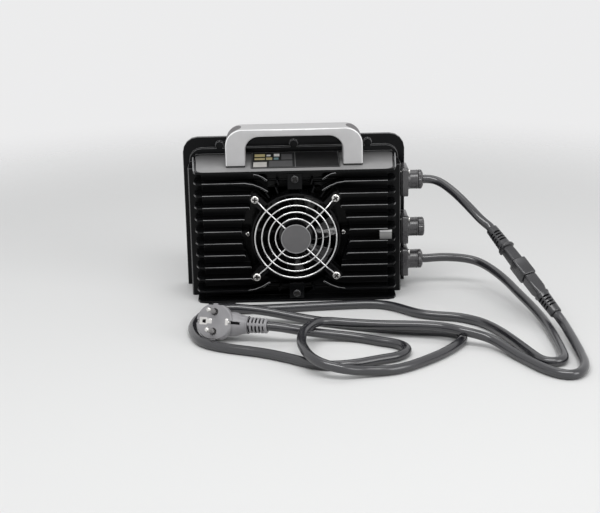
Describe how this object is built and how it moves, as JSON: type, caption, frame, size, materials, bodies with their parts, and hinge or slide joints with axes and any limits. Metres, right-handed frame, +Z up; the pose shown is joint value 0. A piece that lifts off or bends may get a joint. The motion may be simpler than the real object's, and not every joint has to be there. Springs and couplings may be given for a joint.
{
  "type": "battery_charger",
  "caption": "Sealed die-cast battery charger with finned black housing, wire-guarded fan, silver carrying handle, three side ports, output lead and mains cord with plug",
  "frame": {"origin": "Centre of the housing's flat lower face, midway in depth between the fin fronts and the back cover.", "axes": "+X to the right seen from the fan side, towards the cable ports; +Y to the back cover; +Z up, towards the handle."},
  "size_m": [0.3794, 0.3199, 0.1805],
  "materials": {
    "housing_black": "satin black paint on die-cast aluminium",
    "fan_plastic": "black moulded plastic with a soft gloss",
    "port_plastic": "dark grey moulded plastic",
    "gasket_rubber": "black rubber",
    "lead_grey": "satin dark grey cable jacket",
    "plug_grey": "light grey moulded plastic",
    "handle_silver": "satin silver",
    "guard_chrome": "bright plated wire",
    "screw_steel": "bright plated steel",
    "screw_black": "blackened steel",
    "badge_grey": "blank grey disc",
    "label_dark": "dark label with plain colour fields",
    "window_white": "clear white light window",
    "board_green": "coated circuit board",
    "ferrite_dark": "sintered ferrite",
    "winding_copper": "enamelled copper",
    "capacitor_sleeve": "dark blue sleeve",
    "bearing_brass": "sintered brass"
  },
  "bodies": {
    "charger": {"ac_lead": "lead_grey", "ac_port_body": "port_plastic", "ac_port_gasket": "gasket_rubber", "ac_port_nut": "port_plastic", "ac_port_screw_1": "screw_steel", "ac_port_screw_2": "screw_steel", "back_cover": "housing_black", "bulk_capacitor_1": "capacitor_sleeve", "bulk_capacitor_2": "capacitor_sleeve", "cover_gasket": "gasket_rubber", "cover_screw_1": "screw_steel", "cover_screw_2": "screw_steel", "cover_screw_3": "screw_steel", "cover_screw_4": "screw_steel", "cover_screw_5": "screw_steel", "dc_connector": "lead_grey", "dc_lead": "lead_grey", "dc_port_body": "port_plastic", "dc_port_gasket": "gasket_rubber", "dc_port_nut": "port_plastic", "dc_port_screw_1": "screw_steel", "dc_port_screw_2": "screw_steel", "earth_clip_left": "screw_steel", "earth_clip_right": "screw_steel", "fan_bearing": "bearing_brass", "fan_frame": "fan_plastic", "fan_guard": "guard_chrome", "fan_stator": "winding_copper", "front_screw_left": "screw_steel", "front_screw_lower": "screw_black", "front_screw_right": "screw_steel", "front_screw_upper": "screw_black", "guard_badge": "badge_grey", "guard_screw_lower_left": "screw_steel", "guard_screw_lower_right": "screw_steel", "guard_screw_upper_left": "screw_steel", "guard_screw_upper_right": "screw_steel", "handle": "handle_silver", "handle_pad_left": "gasket_rubber", "handle_pad_right": "gasket_rubber", "handle_screw_left": "screw_steel", "handle_screw_right": "screw_steel", "housing": "housing_black", "inline_plug": "lead_grey", "inline_socket": "lead_grey", "main_board": "board_green", "mains_cord": "lead_grey", "mains_pin_lower": "screw_steel", "mains_pin_upper": "screw_steel", "mains_plug_body": "plug_grey", "rating_label": "label_dark", "spare_port_body": "port_plastic", "spare_port_cap": "port_plastic", "spare_port_gasket": "gasket_rubber", "spare_port_screw_1": "screw_steel", "spare_port_screw_2": "screw_steel", "status_window": "window_white", "transformer_core": "ferrite_dark", "transformer_winding": "winding_copper"},
    "rotor": {"fan_rotor": "fan_plastic"}
  },
  "joints": [
    {"name": "fan_spin", "type": "hinge", "parent": "charger", "child": "rotor", "pos_m": [0, -0.0325, 0.07], "axis": [0, 1, 0], "continuous": true}
  ]
}
